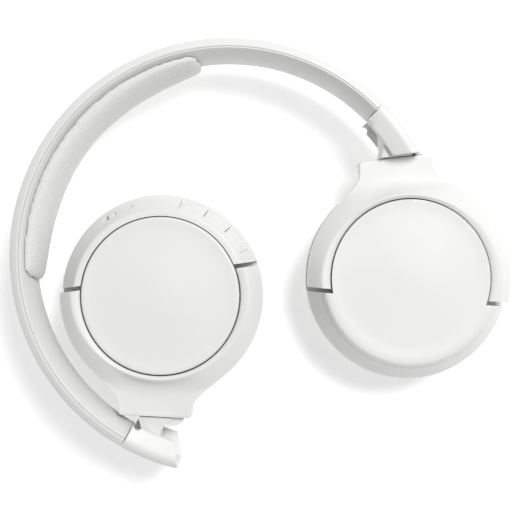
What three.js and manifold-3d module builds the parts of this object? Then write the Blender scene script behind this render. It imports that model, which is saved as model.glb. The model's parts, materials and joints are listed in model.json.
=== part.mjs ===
// Foldable on-ear wireless headphones lying flat, outer faces of both cups up.
// The left cup is swung open, and the right cup, with the controls, is folded inside the headband.
// Millimetres and degrees, +Z up.  The finished group stands on its ear pads, centred on the origin.

import * as THREE from 'three';
import { mergeVertices } from 'three/addons/utils/BufferGeometryUtils.js';
import Module from 'manifold-3d';

const wasm = await Module();
wasm.setup();

// ---------- driving dimensions ----------

const GAP = 0.3;                 // clearance between neighbouring pieces

// Headband: an arc about a vertical axis, its angles counted from the crown.
const CROWN_ANGLE = 142.5;       // direction of the crown in the XY plane
const ARC_OUTER = 80;            // outer radius of the band
const BAND_MID = 26;             // height of the band's middle plane
const BAND_HALF = 13.5;          // half of the band's width
const EDGE_DEPTH = 3.3;          // thickness of the outer shell at its edges
const BAND_DEPTH = 7.5;          // whole thickness of the band at its middle
const BAND_SPAN = 98;            // half angle of the two shells
const SPRING_SPAN = 64;          // half angle of the steel spring
const POCKET_HALF = 10.5;        // half width of the channel that the sliders run in
const POCKET_FLOOR = 78.3;       // radius of that channel's outer face
const CUSHION_SPAN = 45;         // half angle of the head cushion
const CUSHION_DEPTH = 6.2;       // thickness of the cushion at the crown
const CUSHION_HALF = 12.6;       // half of the cushion's width

// Sliders and the hinge housings at their ends.
const STRIP_START = 70;
const STRIP_END = 99.8;
const STRIP_HALF = 8.6;
const NOTCH_COUNT = 7;
const NOTCH_PITCH = 2;
const HOUSING_END = 113.2;
const HOUSING_INNER = 70.6;
const HOUSING_BLOCK_END = 100.6;
const CHANNEL_HALF = 10.3;       // half height of the housing's channel
const CHANNEL_WALL = 78.9;

// Fold hinge and yoke.
const PIN_ANGLE = 104.7;         // from the crown
const PIN_ARC = 75.4;            // distance of the fold pin from the arc's centre
const PIN_RADIUS = 1.5;
const PIN_TO_CUP = 55;           // fold pin to the centre of the cup
const KNUCKLE_BARREL = 3.1;
const PIN_ASIDE = 1.3;           // the pin's distance from the neck's axis, on the head's side
const OPEN_TURN = 226.5;         // direction of an open cup from its pin, from the crown
const HOUSING_REACH = 9.3;       // end of the hinge housing, from the pin towards an open cup
const KNUCKLE_REACH = 9.6;       // end face of the knuckle, from the pin
const NECK_REACH = 9.9;          // end face of the yoke's neck, from the pin
const NECK_HALF = 13.6;
const NECK_BEVEL = 2;            // at the corners of the neck's end
const POST_RADIUS = 2.3;
const SWIVEL_Z = 26;
const POST_TIP = PIN_TO_CUP - 7;
const POST_ROOT = PIN_TO_CUP - NECK_REACH - 3;
const CLIP_AT = PIN_TO_CUP - 8.2;

// Cup: a round housing under a face disc, its front half wrapped by the yoke's half ring.
const CUP_RADIUS = 38;
const FACE_RADIUS = 29.1;
const RING_INNER = 29.65;
const YOKE_LIP = 33.2;           // flat rim of the yoke, outer radius
const FREE_LIP = 31.9;           // flat rim of the housing's free half, outer radius
const PAD_TOP = 14.6;
const HOUSING_BASE = 16.3;
const BAFFLE_TOP = 18;
const FLANGE_TOP = 21.5;
const CONE_BASE = 25;
const YOKE_BASE = 27;
const LIP_TOP = 36;
const FACE_TOP = 36.5;
const WALL = 1.9;
const FRAME_INNER = 25.4;
const FRAME_OUTER = 27.6;
const TILT_SKEW = 11;            // the tilt axis is turned this far from square to the neck
const TILT_OFFSET = 2.3;         // tilt axis, past the cup's centre
const TILT_Z = 31.5;
const TILT_PIN_RADIUS = 1.8;
const TILT_PIN_END = 33.2;       // outer end of each tilt pin, along the tilt axis
const SLOT_OFFSET = 6.9;         // slot between the yoke's tip and the housing, past the centre
const SLOT_WIDTH = 1.6;
const SLOT_NEAR = SLOT_OFFSET - SLOT_WIDTH / 2;
const SLOT_FAR = SLOT_OFFSET + SLOT_WIDTH / 2;
const COVER_LOW = LIP_TOP - 2;   // underside of the face disc

// Ear pad and driver.
const PAD_OUTER = 35.2;
const PAD_INNER = 13.6;
const DRIVER_RADIUS = 16.6;
const GRILLE_RADIUS = 14;

// Controls on the right cup, as angles on its rim counted from its free end.
const BUTTON_EDGES = [-58.8, -42.2, -25.6, -9];
const BUTTON_LOW = 27.6;
const BUTTON_HIGH = 33.2;
const SLIT = 0.25;               // half of the gap between two buttons, in degrees
const LIGHT_ANGLE = 21.2;
const SWITCH_FROM = 32.1;
const SWITCH_TO = 41.7;
const KNOB_WIDTH = 4.6;
const MIC_ANGLE = 52;
const PORT_ANGLE = 4;

const SIDES = [
  { name: 'left', hand: 1, cupDirection: -83.4, hasControls: false },
  { name: 'right', hand: -1, cupDirection: 87, hasControls: true },
];

const FINISH = {
  gloss: { color: 0xf4f4f4, roughness: 0.35, metalness: 0 },
  matte: { color: 0xeeeeee, roughness: 0.55, metalness: 0 },
  leather: { color: 0xf0f0ef, roughness: 0.6, metalness: 0 },
  dark: { color: 0x1c1c1e, roughness: 0.6, metalness: 0 },
  steel: { color: 0xb8babd, roughness: 0.35, metalness: 1 },
  magnet: { color: 0x77797c, roughness: 0.4, metalness: 1 },
  film: { color: 0x8f8f92, roughness: 0.4, metalness: 0 },
  board: { color: 0x1f5b3a, roughness: 0.5, metalness: 0 },
  cell: { color: 0xc9ccd0, roughness: 0.35, metalness: 0.6 },
  sleeve: { color: 0x2b2b2d, roughness: 0.6, metalness: 0 },
  lamp: { color: 0xe8eef2, roughness: 0.2, metalness: 0 },
};

// ---------- shape helpers ----------

const radians = THREE.MathUtils.degToRad;

function signedVolume(points, triangles) {
  const [a, b, c] = [new THREE.Vector3(), new THREE.Vector3(), new THREE.Vector3()];
  let total = 0;
  for (let i = 0; i < triangles.length; i += 3) {
    a.fromArray(points, 3 * triangles[i]);
    b.fromArray(points, 3 * triangles[i + 1]);
    c.fromArray(points, 3 * triangles[i + 2]);
    total += a.dot(b.cross(c));
  }
  return total;
}

// A closed three.js geometry as a solid, its faces pointing out whichever way its outline runs.
function solidOf(geometry) {
  const bare = geometry.clone();
  bare.deleteAttribute('normal');
  bare.deleteAttribute('uv');
  const merged = mergeVertices(bare, 1e-4);
  const points = new Float32Array(merged.attributes.position.array);
  const corners = merged.index.array;
  const triangles = [];
  for (let i = 0; i < corners.length; i += 3) {
    const [a, b, c] = [corners[i], corners[i + 1], corners[i + 2]];
    if (a !== b && b !== c && c !== a) triangles.push(a, b, c);
  }
  if (signedVolume(points, triangles) < 0) triangles.reverse();
  const mesh = new wasm.Mesh({
    numProp: 3,
    vertProperties: points,
    triVerts: new Uint32Array(triangles),
  });
  return new wasm.Manifold(mesh);
}

function geometryOf(solid) {
  const mesh = solid.getMesh();
  const geometry = new THREE.BufferGeometry();
  geometry.setAttribute('position', new THREE.BufferAttribute(mesh.vertProperties, 3));
  geometry.setIndex(new THREE.BufferAttribute(mesh.triVerts, 1));
  geometry.computeVertexNormals();
  return geometry;
}

function outlineOf(points) {
  return new THREE.Shape(points.map(([x, y]) => new THREE.Vector2(x, y)));
}

// A flat outline raised from one height to another.
function slab(points, low, high) {
  const geometry = new THREE.ExtrudeGeometry(outlineOf(points), {
    depth: high - low,
    bevelEnabled: false,
  });
  return solidOf(geometry.translate(0, 0, low));
}

// A closed profile of [radius, height] points turned about the Z axis.
function turned(profile, segments = 48) {
  const points = [...profile, profile[0]].map(([radius, height]) => new THREE.Vector2(radius, height));
  return solidOf(new THREE.LatheGeometry(points, segments).rotateX(Math.PI / 2));
}

function disc(radius, low, high, segments = 48) {
  const geometry = new THREE.CylinderGeometry(radius, radius, high - low, segments);
  return solidOf(geometry.rotateX(Math.PI / 2).translate(0, 0, (low + high) / 2));
}

function block(x, y, z, dx, dy, dz) {
  return solidOf(new THREE.BoxGeometry(dx, dy, dz).translate(x, y, z));
}

// A round bar between two points.
function bar(from, to, radius, segments = 14) {
  const start = new THREE.Vector3(...from);
  const along = new THREE.Vector3(...to).sub(start);
  const geometry = new THREE.CylinderGeometry(radius, radius, along.length(), segments);
  geometry.translate(0, along.length() / 2, 0);
  const turn = new THREE.Quaternion().setFromUnitVectors(
    new THREE.Vector3(0, 1, 0),
    along.clone().normalize(),
  );
  return solidOf(geometry.applyQuaternion(turn).translate(start.x, start.y, start.z));
}

// Points on an arc about (x, y), both ends included.
function arcPoints(x, y, radius, fromAngle, toAngle, steps) {
  const points = [];
  for (let i = 0; i <= steps; i += 1) {
    const angle = radians(fromAngle + ((toAngle - fromAngle) * i) / steps);
    points.push([x + radius * Math.cos(angle), y + radius * Math.sin(angle)]);
  }
  return points;
}

// The wedge between two directions from the Z axis.
function wedge(fromAngle, toAngle, reach, low, high) {
  return slab([[0, 0], ...arcPoints(0, 0, reach, fromAngle, toAngle, 8)], low, high);
}

// A [radius, height from the band's middle] section swept along the headband's arc between
// two angles from the crown.  shape(radius, height, share of the way) may alter the section.
function swept(section, fromAngle, toAngle, steps, shape = (radius, height) => [radius, height]) {
  const geometry = new THREE.ExtrudeGeometry(outlineOf(section), {
    depth: 1,
    steps,
    bevelEnabled: false,
  });
  const place = geometry.attributes.position;
  for (let i = 0; i < place.count; i += 1) {
    const share = place.getZ(i);
    const [radius, height] = shape(place.getX(i), place.getY(i), share);
    const angle = radians(CROWN_ANGLE + fromAngle + (toAngle - fromAngle) * share);
    place.setXYZ(i, radius * Math.cos(angle), radius * Math.sin(angle), BAND_MID + height);
  }
  return solidOf(geometry);
}

function box2(left, right, bottom, top) {
  return [[left, bottom], [right, bottom], [right, top], [left, top]];
}

function part(name, solid, finish) {
  const mesh = new THREE.Mesh(geometryOf(solid), new THREE.MeshStandardMaterial(FINISH[finish]));
  mesh.name = name;
  return mesh;
}

// ---------- headband ----------

// Radius of the band's inner surface, which bulges towards the head.
function innerRadius(height) {
  const edge = ARC_OUTER - EDGE_DEPTH - GAP - 0.5;
  const middle = ARC_OUTER - BAND_DEPTH;
  return middle + (edge - middle) * (height / BAND_HALF) ** 2;
}

function headbandOuterShell() {
  const inside = ARC_OUTER - EDGE_DEPTH;
  const section = [
    [inside, -BAND_HALF], [ARC_OUTER - 1, -BAND_HALF], [ARC_OUTER, -BAND_HALF + 1.2],
    [ARC_OUTER, BAND_HALF - 1.2], [ARC_OUTER - 1, BAND_HALF], [inside, BAND_HALF],
    [inside, POCKET_HALF], [POCKET_FLOOR, POCKET_HALF],
    [POCKET_FLOOR, -POCKET_HALF], [inside, -POCKET_HALF],
  ];
  return swept(section, -BAND_SPAN, BAND_SPAN, 36);
}

function headbandInnerShell() {
  const back = ARC_OUTER - EDGE_DEPTH - GAP;
  const groove = 7;
  const heights = [-BAND_HALF, -9, -4.5, 0, 4.5, 9, BAND_HALF];
  const bulge = heights.map((height) => [innerRadius(height), height]);
  const rear = [
    [back, BAND_HALF], [back, groove], [back - 1.6, groove],
    [back - 1.6, -groove], [back, -groove], [back, -BAND_HALF],
  ];
  return swept([...bulge, ...rear], -BAND_SPAN, BAND_SPAN, 36);
}

function headbandCushion() {
  const heights = [-1, -0.85, -0.5, 0, 0.5, 0.85, 1];
  const back = heights.map((share) => [0, share]);
  const front = heights.slice(1, -1).reverse().map((share) => [1 - 0.45 * share ** 4, share]);
  const shape = (depth, across, share) => {
    const along = Math.abs(2 * share - 1);
    const height = across * CUSHION_HALF * (1 - 0.35 * along ** 6);
    const thickness = 0.9 + (CUSHION_DEPTH - 0.9) * Math.sqrt(Math.max(0, 1 - along ** 3));
    return [innerRadius(height) - GAP - depth * thickness, height];
  };
  return swept([...back, ...front], -CUSHION_SPAN, CUSHION_SPAN, 20, shape);
}

function headband() {
  const group = new THREE.Group();
  const cableCentre = ARC_OUTER - EDGE_DEPTH - GAP - 0.8;
  const cable = arcPoints(cableCentre, 0, 0.45, 0, 288, 4);
  group.add(part('headband_outer_shell', headbandOuterShell(), 'gloss'));
  group.add(part('headband_inner_shell', headbandInnerShell(), 'matte'));
  group.add(part('headband_cushion', headbandCushion(), 'leather'));
  const spring = swept(box2(77, 77.8, -6, 6), -SPRING_SPAN, SPRING_SPAN, 20);
  group.add(part('headband_spring', spring, 'steel'));
  group.add(part('headband_cable', swept(cable, -92, 92, 30), 'sleeve'));
  return group;
}

// ---------- slider and hinge housing, one at each end of the band ----------

// A point on the band's arc, from its angle off the crown and its radius.
function onArc(angle, radius) {
  const direction = radians(CROWN_ANGLE + angle);
  return [radius * Math.cos(direction), radius * Math.sin(direction)];
}

function sliderStrip(hand) {
  let strip = swept(
    box2(76.7, 78, -STRIP_HALF, STRIP_HALF), -hand * STRIP_START, -hand * STRIP_END, 8,
  );
  for (let i = 0; i < NOTCH_COUNT; i += 1) {
    const [x, y] = onArc(-hand * (STRIP_START + 4 + i * NOTCH_PITCH), 77.3);
    strip = strip.subtract(bar([x, y, BAND_MID - 9.2], [x, y, BAND_MID - 7.6], 0.8, 6));
  }
  return strip;
}

function detentSpring(hand) {
  const leaf = swept(box2(76.9, 77.7, -10.2, -9.7), -hand * 80, -hand * 92, 4);
  const [x, y] = onArc(-hand * 86, 77.3);
  return leaf.add(bar([x, y, BAND_MID - 9.8], [x, y, BAND_MID - 9], 0.35, 6));
}

// Everything beyond the flat end of the hinge housing.
function pastHousing(hand) {
  const [pinX, pinY] = onArc(-hand * PIN_ANGLE, PIN_ARC);
  return block(HOUSING_REACH + 20, 0, BAND_MID, 40, 80, 60)
    .rotate([0, 0, CROWN_ANGLE - hand * OPEN_TURN])
    .translate([pinX, pinY, 0]);
}

function hingeHousing(hand) {
  const body = [
    [HOUSING_INNER, -BAND_HALF + 0.8], [HOUSING_INNER + 0.8, -BAND_HALF],
    [ARC_OUTER - 1, -BAND_HALF], [ARC_OUTER, -BAND_HALF + 1.2],
    [ARC_OUTER, BAND_HALF - 1.2], [ARC_OUTER - 1, BAND_HALF],
    [HOUSING_INNER + 0.8, BAND_HALF], [HOUSING_INNER, BAND_HALF - 0.8],
  ];
  const start = BAND_SPAN + 0.25;
  const channel = box2(60, CHANNEL_WALL, -CHANNEL_HALF, CHANNEL_HALF);
  const relief = box2(60, 73.4, -CHANNEL_HALF, CHANNEL_HALF);
  const slot = box2(76.4, 78.3, -STRIP_HALF - GAP, STRIP_HALF + GAP);
  const [pinX, pinY] = onArc(-hand * PIN_ANGLE, PIN_ARC);
  const [notchX, notchY] = onArc(-hand * 99.5, HOUSING_INNER);
  return swept(body, -hand * start, -hand * HOUSING_END, 8)
    .subtract(swept(channel, -hand * HOUSING_BLOCK_END, -hand * (HOUSING_END + 3), 8))
    .subtract(swept(relief, -hand * (start - 2), -hand * (HOUSING_BLOCK_END + 1), 4))
    .subtract(swept(slot, -hand * (start - 1), -hand * (STRIP_END + 0.25), 4))
    .subtract(bar([notchX, notchY, 0], [notchX, notchY, 60], 1.5, 16))
    .subtract(bar([pinX, pinY, BAND_MID - 12.2], [pinX, pinY, BAND_MID + 12.2], PIN_RADIUS + GAP))
    .subtract(pastHousing(hand));
}

function foldPin(hand) {
  const [x, y] = onArc(-hand * PIN_ANGLE, PIN_ARC);
  return bar([x, y, BAND_MID - 11.9], [x, y, BAND_MID + 11.9], PIN_RADIUS);
}

function slider({ name, hand }) {
  const group = new THREE.Group();
  group.add(part(`${name}_slider_strip`, sliderStrip(hand), 'steel'));
  group.add(part(`${name}_detent_spring`, detentSpring(hand), 'steel'));
  group.add(part(`${name}_hinge_housing`, hingeHousing(hand), 'gloss'));
  group.add(part(`${name}_fold_pin`, foldPin(hand), 'steel'));
  return group;
}

// ---------- knuckle and yoke ----------
// From here each side is drawn about its cup's centre: X runs towards the neck, and `out` is
// the sideways distance on the side that faces away from the head when the headphones are open.

function knuckle(hand) {
  const plan = (reach, out) => [PIN_TO_CUP - reach, -hand * out];
  const [pinX, pinY] = [PIN_TO_CUP, hand * PIN_ASIDE];
  const barrel = arcPoints(pinX, pinY, KNUCKLE_BARREL, hand * 80, -hand * 80, 8);
  const arm = [
    plan(6, 2.7), plan(8.6, 4.1), plan(KNUCKLE_REACH, 4.8),
    plan(KNUCKLE_REACH, -5.4), plan(8, -4.9), plan(5.4, -PIN_ASIDE - KNUCKLE_BARREL),
  ];
  const end = PIN_TO_CUP - KNUCKLE_REACH - 1;
  const bore = bar([end, 0, SWIVEL_Z], [POST_TIP + 0.4, 0, SWIVEL_Z], POST_RADIUS + GAP);
  return slab([...barrel, ...arm], BAND_MID - 10, BAND_MID + 10)
    .subtract(bar([pinX, pinY, 0], [pinX, pinY, 60], PIN_RADIUS + GAP))
    .subtract(bore);
}

function swivelPost() {
  const groove = bar([CLIP_AT - 0.5, 0, SWIVEL_Z], [CLIP_AT + 0.5, 0, SWIVEL_Z], 9)
    .subtract(bar([CLIP_AT - 2, 0, SWIVEL_Z], [CLIP_AT + 2, 0, SWIVEL_Z], 1.5));
  return bar([POST_ROOT, 0, SWIVEL_Z], [POST_TIP, 0, SWIVEL_Z], POST_RADIUS).subtract(groove);
}

// A C-shaped clip in the post's groove keeps the yoke on the knuckle.
function swivelClip() {
  const width = 0.4;
  return bar([CLIP_AT - width / 2, 0, SWIVEL_Z], [CLIP_AT + width / 2, 0, SWIVEL_Z], 2.25)
    .subtract(bar([CLIP_AT - 2, 0, SWIVEL_Z], [CLIP_AT + 2, 0, SWIVEL_Z], 1.75))
    .subtract(block(CLIP_AT, 0, SWIVEL_Z - 2, 3, 1.4, 4));
}

// Everything on the neck's side of a line that runs along the tilt axis, `past` mm beyond
// the cup's centre.
function neckSide(hand, past, low = -10, high = 60) {
  const half = block(100 - past, 0, (low + high) / 2, 200, 300, high - low);
  return half.rotate([0, 0, -hand * TILT_SKEW]);
}

function freeSide(hand, past, low = -10, high = 60) {
  const half = block(-100 - past, 0, (low + high) / 2, 200, 300, high - low);
  return half.rotate([0, 0, -hand * TILT_SKEW]);
}

// A point on the tilt axis: `along` is its distance from the foot of the cup's centre.
function onTiltAxis(hand, along) {
  const turn = radians(-hand * TILT_SKEW);
  return [
    -TILT_OFFSET * Math.cos(turn) - along * Math.sin(turn),
    -TILT_OFFSET * Math.sin(turn) + along * Math.cos(turn),
    TILT_Z,
  ];
}

function neckOutline(inner) {
  const end = PIN_TO_CUP - NECK_REACH;
  const flare = [
    [end, NECK_HALF - NECK_BEVEL], [end - NECK_BEVEL, NECK_HALF], [end - 4, NECK_HALF + 0.1],
    [end - 7, 14.9], [end - 9.5, 16.9], [end - 12, 19.6], [30.2, 22],
  ];
  const far = flare.map(([x, y]) => [x, -y]).reverse();
  return [...flare, [inner, 20], [inner, -20], ...far];
}

function yoke(hand) {
  const profile = [
    [RING_INNER, YOKE_BASE + 1.8], [RING_INNER, LIP_TOP - 0.3], [RING_INNER + 0.3, LIP_TOP],
    [YOKE_LIP - 0.5, LIP_TOP], [YOKE_LIP, LIP_TOP - 0.4], [CUP_RADIUS, 29.6],
    [CUP_RADIUS, YOKE_BASE + 1.8],
  ];
  const bore = turned(box2(0, RING_INNER, 0, 60));
  const end = PIN_TO_CUP - NECK_REACH;
  const neck = slab(neckOutline(30), YOKE_BASE + 1.8, BAND_MID + 5.5).subtract(bore);
  const boss = slab([
    [end - 3.8, -NECK_HALF], [end - NECK_BEVEL, -NECK_HALF], [end, NECK_BEVEL - NECK_HALF],
    [end, NECK_HALF - NECK_BEVEL], [end - NECK_BEVEL, NECK_HALF], [end - 3.8, NECK_HALF],
  ], BAND_MID - 5.5, BAND_MID + 3.5);
  const post = bar([POST_ROOT - 0.3, 0, SWIVEL_Z], [end + 1, 0, SWIVEL_Z], POST_RADIUS + GAP);
  const tiltBore = bar(
    onTiltAxis(hand, -TILT_PIN_END - GAP), onTiltAxis(hand, TILT_PIN_END + GAP), TILT_PIN_RADIUS + GAP,
  );
  return turned(profile)
    .add(neck)
    .intersect(neckSide(hand, SLOT_NEAR))
    .add(boss)
    .subtract(post)
    .subtract(tiltBore);
}

// The plate that closes the underside of the yoke's hollow ring.
function yokeCover(hand) {
  return turned(box2(RING_INNER + 0.2, CUP_RADIUS - 0.2, YOKE_BASE, YOKE_BASE + 1.5))
    .intersect(neckSide(hand, SLOT_NEAR - 0.4));
}

function tiltPin(hand, side) {
  return bar(
    onTiltAxis(hand, side * (FRAME_INNER + 0.2)), onTiltAxis(hand, side * TILT_PIN_END),
    TILT_PIN_RADIUS,
  );
}

function yokeGroup({ name, hand }) {
  const group = new THREE.Group();
  group.add(part(`${name}_knuckle`, knuckle(hand), 'gloss'));
  group.add(part(`${name}_swivel_post`, swivelPost(), 'steel'));
  group.add(part(`${name}_swivel_clip`, swivelClip(), 'steel'));
  group.add(part(`${name}_yoke`, yoke(hand), 'gloss'));
  group.add(part(`${name}_yoke_cover`, yokeCover(hand), 'matte'));
  group.add(part(`${name}_tilt_pin_a`, tiltPin(hand, 1), 'gloss'));
  group.add(part(`${name}_tilt_pin_b`, tiltPin(hand, -1), 'gloss'));
  return group;
}

// ---------- cup ----------

// Radius of the housing's cone at a height, on its free half.
function coneRadius(height) {
  return CUP_RADIUS + ((FREE_LIP - CUP_RADIUS) * (height - CONE_BASE)) / (LIP_TOP - CONE_BASE);
}

// The housing's outer skin, its free half up to the rim and its other half a low flange.
function cupHousing({ hand, hasControls }) {
  const outer = turned([
    [0, HOUSING_BASE], [CUP_RADIUS - 0.4, HOUSING_BASE], [CUP_RADIUS, HOUSING_BASE + 0.6],
    [CUP_RADIUS, CONE_BASE], [FREE_LIP, LIP_TOP - 0.3], [FREE_LIP - 0.4, LIP_TOP], [0, LIP_TOP],
  ]);
  const lowHalf = neckSide(hand, SLOT_FAR, FLANGE_TOP, 60);
  const floor = disc(CUP_RADIUS - WALL, 0, FLANGE_TOP - 1.6);
  const core = disc(FRAME_OUTER + GAP, 0, 60);
  const rebate = disc(FACE_RADIUS + 0.35, LIP_TOP - 3, 60);
  const hollow = turned([
    [FRAME_OUTER, 18], [CUP_RADIUS - WALL, 18], [CUP_RADIUS - WALL, CONE_BASE - 0.5],
    [FREE_LIP - WALL + 0.35, LIP_TOP - 3 - WALL], [FRAME_OUTER, LIP_TOP - 3 - WALL],
  ]);
  const shell = outer
    .subtract(lowHalf)
    .subtract(floor)
    .subtract(core)
    .subtract(rebate)
    .subtract(hollow.intersect(freeSide(hand, SLOT_FAR + WALL)));
  return shell.subtract(hasControls ? controlOpenings() : disc(60, COVER_LOW - GAP, 60));
}

// The round face of the cup.  On the plain cup it carries the rim of the free half as well.
function cupCover({ hand, hasControls }) {
  const face = turned([
    [0, COVER_LOW], [FACE_RADIUS, COVER_LOW], [FACE_RADIUS, LIP_TOP - 0.5],
    [FACE_RADIUS - 0.5, LIP_TOP], [16, LIP_TOP + 0.36], [0, FACE_TOP],
  ]);
  const rim = turned([
    [FACE_RADIUS - 1, COVER_LOW], [coneRadius(COVER_LOW), COVER_LOW], [FREE_LIP, LIP_TOP - 0.3],
    [FREE_LIP - 0.4, LIP_TOP], [FACE_RADIUS - 1, LIP_TOP],
  ]);
  const top = hasControls ? face : face.add(rim.intersect(freeSide(hand, SLOT_FAR)));
  return top.subtract(disc(FACE_RADIUS - 2, 0, COVER_LOW + 1));
}

// The dark frame inside the cup that the tilt pins turn in.
function innerFrame(hand) {
  const ring = turned(box2(FRAME_INNER, FRAME_OUTER, 20.2, LIP_TOP - 3));
  return ring.subtract(
    bar(onTiltAxis(hand, -40), onTiltAxis(hand, 40), TILT_PIN_RADIUS + GAP),
  );
}

function baffle() {
  return turned(box2(GRILLE_RADIUS + GAP, CUP_RADIUS - WALL - GAP, HOUSING_BASE, BAFFLE_TOP), 40);
}

function driverGrille() {
  let grille = disc(GRILLE_RADIUS, HOUSING_BASE, HOUSING_BASE + 0.8);
  for (const [count, radius] of [[1, 0], [6, 7]]) {
    for (let i = 0; i < count; i += 1) {
      const turn = (2 * Math.PI * i) / count;
      const [x, y] = [radius * Math.cos(turn), radius * Math.sin(turn)];
      grille = grille.subtract(bar([x, y, 10], [x, y, 20], 2.1, 8));
    }
  }
  return grille;
}

function driverBasket() {
  return turned([
    [DRIVER_RADIUS, BAFFLE_TOP + GAP], [DRIVER_RADIUS, 20.6], [10, 22.6], [0, 22.6],
    [0, 21.8], [9.6, 21.8], [DRIVER_RADIUS - 0.9, 20], [DRIVER_RADIUS - 0.9, BAFFLE_TOP + GAP],
  ], 24);
}

function diaphragm() {
  const cone = [[0, 19.4], [6, 19], [9, 18.5], [15.3, 18.5], [15.3, 18.9], [9.2, 18.9], [6, 19.4], [0, 19.8]];
  return turned(cone, 24);
}

// A soft ring, flat where it rests and drawn in at its bore.
function earPad() {
  return turned([
    [PAD_INNER + 5, 0], [PAD_OUTER - 5.5, 0], [PAD_OUTER - 1.6, 2.2], [PAD_OUTER, 7],
    [PAD_OUTER - 0.8, 11.6], [PAD_OUTER - 2.6, PAD_TOP], [PAD_INNER + 2.2, PAD_TOP],
    [PAD_INNER, 9], [PAD_INNER + 1.2, 3.4],
  ], 40);
}

function padPlate() {
  return turned(box2(PAD_INNER + 1, PAD_OUTER - 1.4, PAD_TOP + GAP, HOUSING_BASE - GAP), 36);
}

function cupGroup(side) {
  const { name, hand, hasControls } = side;
  const group = new THREE.Group();
  group.add(part(`${name}_cup_housing`, cupHousing(side), 'gloss'));
  group.add(part(`${name}_cup_cover`, cupCover(side), 'gloss'));
  group.add(part(`${name}_inner_frame`, innerFrame(hand), 'dark'));
  group.add(part(`${name}_baffle`, baffle(), 'dark'));
  group.add(part(`${name}_driver_grille`, driverGrille(), 'dark'));
  group.add(part(`${name}_driver_basket`, driverBasket(), 'dark'));
  group.add(part(`${name}_driver_magnet`, disc(9.4, 22.9, 26.2, 20), 'magnet'));
  group.add(part(`${name}_diaphragm`, diaphragm(), 'film'));
  group.add(part(`${name}_pad_plate`, padPlate(), 'dark'));
  group.add(part(`${name}_ear_pad`, earPad(), 'leather'));
  if (hasControls) {
    group.add(...controls());
  } else {
    group.add(part('left_battery', block(0, 0, 29.4, 32, 26, 5), 'cell'));
  }
  return group;
}

// ---------- controls on the right cup ----------

// A strip of the cone between two heights, `proud` outside it and `deep` inside it.
function coneStrip(fromAngle, toAngle, low, high, proud, deep) {
  const strip = turned([
    [coneRadius(low) - deep, low], [coneRadius(low) + proud, low],
    [coneRadius(high) + proud, high], [coneRadius(high) - deep, high],
  ]);
  return strip.intersect(wedge(180 + fromAngle, 180 + toAngle, 60, 0, 60));
}

// A point on the cone's outward normal, `out` from the surface at mid height.
function onCone(angle, out) {
  const height = (CONE_BASE + LIP_TOP) / 2;
  const lean = Math.atan2(CUP_RADIUS - FREE_LIP, LIP_TOP - CONE_BASE);
  const radius = coneRadius(height) + out * Math.cos(lean);
  const turn = radians(180 + angle);
  return [radius * Math.cos(turn), radius * Math.sin(turn), height + out * Math.sin(lean)];
}

function controlOpenings() {
  const edges = BUTTON_EDGES;
  const port = block(3 - CUP_RADIUS, 0, 20.3, 10, 9.6, 3.9).rotate([0, 0, PORT_ANGLE]);
  return coneStrip(
    edges[0] - 0.5 + SLIT, edges[3] + 0.5 - SLIT, BUTTON_LOW - GAP, BUTTON_HIGH + GAP, 2, 3.4,
  )
    .add(coneStrip(SWITCH_FROM, SWITCH_TO, 28.8, 31.8, 2, 3.4))
    .add(bar(onCone(LIGHT_ANGLE, -4), onCone(LIGHT_ANGLE, 3), 0.8, 12))
    .add(bar(onCone(MIC_ANGLE, -5), onCone(MIC_ANGLE, 3), 0.6, 10))
    .add(port);
}

function usbSocket() {
  const middle = 4.1 - CUP_RADIUS;
  const shell = block(middle, 0, 20.3, 6.8, 9, 3.3);
  const mouth = block(middle - 1, 0, 20.3, 6.8, 8.3, 2.6);
  const tongue = block(middle + 0.8, 0, 20.3, 5, 6.7, 0.7);
  return shell.subtract(mouth).add(tongue).rotate([0, 0, PORT_ANGLE]);
}

function controls() {
  const names = ['volume_down_button', 'multifunction_button', 'volume_up_button'];
  const buttons = names.map((name, i) => {
    const [from, to] = [BUTTON_EDGES[i] + SLIT, BUTTON_EDGES[i + 1] - SLIT];
    return part(name, coneStrip(from, to, BUTTON_LOW, BUTTON_HIGH, 0, 1.7), 'gloss');
  });
  const knobFrom = SWITCH_FROM + 0.5;
  const knob = coneStrip(knobFrom, knobFrom + KNOB_WIDTH, 29.1, 31.5, 0.5, 1.9);
  const light = bar(onCone(LIGHT_ANGLE, -1.8), onCone(LIGHT_ANGLE, 0), 0.5, 12);
  const microphone = bar(onCone(MIC_ANGLE, -6.2), onCone(MIC_ANGLE, -5), 1.2, 12);
  return [
    ...buttons,
    part('power_switch_knob', knob, 'matte'),
    part('status_light', light, 'lamp'),
    part('microphone', microphone, 'dark'),
    part('usb_socket', usbSocket(), 'steel'),
    part('main_board', block(2, 0, 28.6, 36, 26, 1.2), 'board'),
  ];
}

// ---------- the whole object ----------

const headphones = new THREE.Group();
headphones.add(headband());

for (const side of SIDES) {
  headphones.add(slider(side));
  const [pinX, pinY] = onArc(-side.hand * PIN_ANGLE, PIN_ARC);
  const direction = radians(side.cupDirection);
  const hanging = new THREE.Group();
  hanging.add(yokeGroup(side), cupGroup(side));
  hanging.position.set(
    pinX + PIN_TO_CUP * Math.cos(direction) - side.hand * PIN_ASIDE * Math.sin(direction),
    pinY + PIN_TO_CUP * Math.sin(direction) + side.hand * PIN_ASIDE * Math.cos(direction),
    0,
  );
  hanging.rotation.z = direction + Math.PI;
  headphones.add(hanging);
}

// Stand the group on its pads, centred over the origin.
headphones.updateMatrixWorld(true);
const bounds = new THREE.Box3().setFromObject(headphones, true);
const middle = bounds.getCenter(new THREE.Vector3());
headphones.position.set(-middle.x, -middle.y, -bounds.min.z);

export default headphones;
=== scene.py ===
import json
import math

import bmesh
import bpy
from mathutils import Matrix, Vector, noise


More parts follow.
